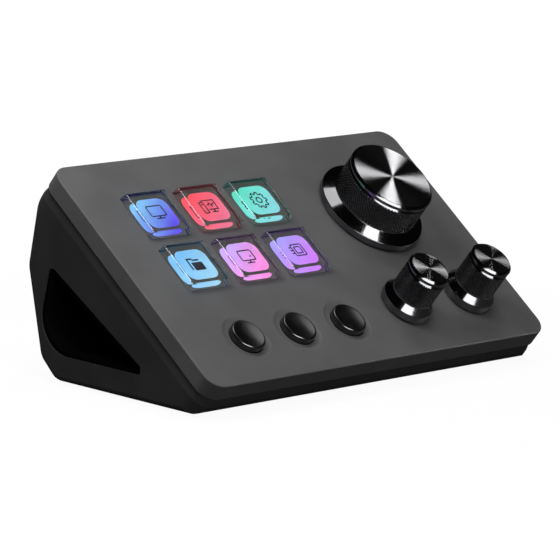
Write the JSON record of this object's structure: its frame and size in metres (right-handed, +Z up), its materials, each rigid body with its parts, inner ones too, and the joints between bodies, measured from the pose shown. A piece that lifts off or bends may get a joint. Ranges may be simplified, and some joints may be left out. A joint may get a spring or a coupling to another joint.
{
  "type": "macro keypad with knobs",
  "caption": "Wedge-shaped desk keypad with lit picture keys under clear caps, round buttons and metal push-and-turn knobs, in a two-part plastic case on rubber feet.",
  "frame": {"origin": "on the desk, under the middle of the keypad's outline", "axes": "+X to the user's right along the case's width, +Y to the back, +Z up"},
  "size_m": [0.13, 0.0699, 0.0573],
  "materials": {
    "cover_plastic": "fine matt texture, charcoal",
    "shell_plastic": "fine matt texture, near black",
    "pocket_plastic": "matt black",
    "foot_rubber": "matt",
    "ballast_steel": "zinc plated",
    "board_laminate": "glass-fibre board, dark green",
    "screw_steel": "zinc plated",
    "case_screw_steel": "black plated",
    "socket_shell": "nickel plated",
    "ribbon_film": "white film",
    "connector_plastic": "off-white",
    "chip_resin": "matt black",
    "switch_plastic": "matt",
    "cap_clear": "polished clear acrylic",
    "carrier_plastic": "matt black",
    "button_plastic": "polished black",
    "knob_metal": "polished black anodising",
    "insert_plastic": "nylon",
    "shaft_metal": "machined",
    "plunger_plastic": "acetal",
    "bushing_metal": "die cast and nickel plated",
    "encoder_plastic": "matt black",
    "picture_1": "lit picture on a black panel",
    "picture_2": "lit picture on a black panel",
    "picture_3": "lit picture on a black panel",
    "picture_4": "lit picture on a black panel",
    "picture_5": "lit picture on a black panel",
    "picture_6": "lit picture on a black panel"
  },
  "bodies": {
    "case": {"top_cover": "cover_plastic", "bottom_shell": "shell_plastic", "side_pocket_left": "pocket_plastic", "side_pocket_right": "pocket_plastic", "rubber_feet": "foot_rubber", "ballast_plate": "ballast_steel", "usb_board": "board_laminate", "usb_board_screws": "screw_steel", "usb_c_socket": "socket_shell", "board_ribbon": "ribbon_film", "ribbon_sockets": "connector_plastic", "main_board": "board_laminate", "board_screws": "screw_steel", "case_screws": "case_screw_steel", "board_chips": "chip_resin", "display_tail_sockets": "connector_plastic", "key_switches": "switch_plastic", "button_switches": "switch_plastic", "big_encoder_bushing": "bushing_metal", "big_encoder_base": "encoder_plastic", "left_encoder_bushing": "bushing_metal", "left_encoder_base": "encoder_plastic", "right_encoder_bushing": "bushing_metal", "right_encoder_base": "encoder_plastic"},
    "picture_key_1": {"key_cap_1": "cap_clear", "key_display_1": "picture_1", "key_carrier_1": "carrier_plastic"},
    "picture_key_2": {"key_cap_2": "cap_clear", "key_display_2": "picture_2", "key_carrier_2": "carrier_plastic"},
    "picture_key_3": {"key_cap_3": "cap_clear", "key_display_3": "picture_3", "key_carrier_3": "carrier_plastic"},
    "picture_key_4": {"key_cap_4": "cap_clear", "key_display_4": "picture_4", "key_carrier_4": "carrier_plastic"},
    "picture_key_5": {"key_cap_5": "cap_clear", "key_display_5": "picture_5", "key_carrier_5": "carrier_plastic"},
    "picture_key_6": {"key_cap_6": "cap_clear", "key_display_6": "picture_6", "key_carrier_6": "carrier_plastic"},
    "round_button_1": {"button_1": "button_plastic"},
    "round_button_2": {"button_2": "button_plastic"},
    "round_button_3": {"button_3": "button_plastic"},
    "big_pusher": {"big_encoder_plunger": "plunger_plastic"},
    "big_dial": {"big_knob": "knob_metal", "big_hub_insert": "insert_plastic", "big_encoder_shaft": "shaft_metal"},
    "left_pusher": {"left_encoder_plunger": "plunger_plastic"},
    "left_dial": {"left_knob": "knob_metal", "left_hub_insert": "insert_plastic", "left_encoder_shaft": "shaft_metal"},
    "right_pusher": {"right_encoder_plunger": "plunger_plastic"},
    "right_dial": {"right_knob": "knob_metal", "right_hub_insert": "insert_plastic", "right_encoder_shaft": "shaft_metal"}
  },
  "joints": [
    {"name": "picture_key_1_press", "type": "slide", "parent": "case", "child": "picture_key_1", "axis": [0, 0.6046, -0.7965], "range_m": [0, 0.001], "stiffness_N_per_m": 400, "springref_m": -0.0006},
    {"name": "picture_key_2_press", "type": "slide", "parent": "case", "child": "picture_key_2", "axis": [0, 0.6046, -0.7965], "range_m": [0, 0.001], "stiffness_N_per_m": 400, "springref_m": -0.0006},
    {"name": "picture_key_3_press", "type": "slide", "parent": "case", "child": "picture_key_3", "axis": [0, 0.6046, -0.7965], "range_m": [0, 0.001], "stiffness_N_per_m": 400, "springref_m": -0.0006},
    {"name": "picture_key_4_press", "type": "slide", "parent": "case", "child": "picture_key_4", "axis": [0, 0.6046, -0.7965], "range_m": [0, 0.001], "stiffness_N_per_m": 400, "springref_m": -0.0006},
    {"name": "picture_key_5_press", "type": "slide", "parent": "case", "child": "picture_key_5", "axis": [0, 0.6046, -0.7965], "range_m": [0, 0.001], "stiffness_N_per_m": 400, "springref_m": -0.0006},
    {"name": "picture_key_6_press", "type": "slide", "parent": "case", "child": "picture_key_6", "axis": [0, 0.6046, -0.7965], "range_m": [0, 0.001], "stiffness_N_per_m": 400, "springref_m": -0.0006},
    {"name": "round_button_1_press", "type": "slide", "parent": "case", "child": "round_button_1", "axis": [0, 0.6046, -0.7965], "range_m": [0, 0.0008], "stiffness_N_per_m": 500, "springref_m": -0.0006},
    {"name": "round_button_2_press", "type": "slide", "parent": "case", "child": "round_button_2", "axis": [0, 0.6046, -0.7965], "range_m": [0, 0.0008], "stiffness_N_per_m": 500, "springref_m": -0.0006},
    {"name": "round_button_3_press", "type": "slide", "parent": "case", "child": "round_button_3", "axis": [0, 0.6046, -0.7965], "range_m": [0, 0.0008], "stiffness_N_per_m": 500, "springref_m": -0.0006},
    {"name": "big_knob_press", "type": "slide", "parent": "case", "child": "big_pusher", "axis": [0, 0.6046, -0.7965], "range_m": [0, 0.0005], "stiffness_N_per_m": 1500, "springref_m": -0.001},
    {"name": "big_knob_spin", "type": "hinge", "parent": "big_pusher", "child": "big_dial", "pos_m": [0.0333, 0.00465, 0.03911], "axis": [0, -0.6046, 0.7965], "continuous": true},
    {"name": "left_knob_press", "type": "slide", "parent": "case", "child": "left_pusher", "axis": [0, 0.6046, -0.7965], "range_m": [0, 0.0005], "stiffness_N_per_m": 1500, "springref_m": -0.001},
    {"name": "left_knob_spin", "type": "hinge", "parent": "left_pusher", "child": "left_dial", "pos_m": [0.02, -0.02188, 0.01898], "axis": [0, -0.6046, 0.7965], "continuous": true},
    {"name": "right_knob_press", "type": "slide", "parent": "case", "child": "right_pusher", "axis": [0, 0.6046, -0.7965], "range_m": [0, 0.0005], "stiffness_N_per_m": 1500, "springref_m": -0.001},
    {"name": "right_knob_spin", "type": "hinge", "parent": "right_pusher", "child": "right_dial", "pos_m": [0.0451, -0.02188, 0.01898], "axis": [0, -0.6046, 0.7965], "continuous": true}
  ]
}
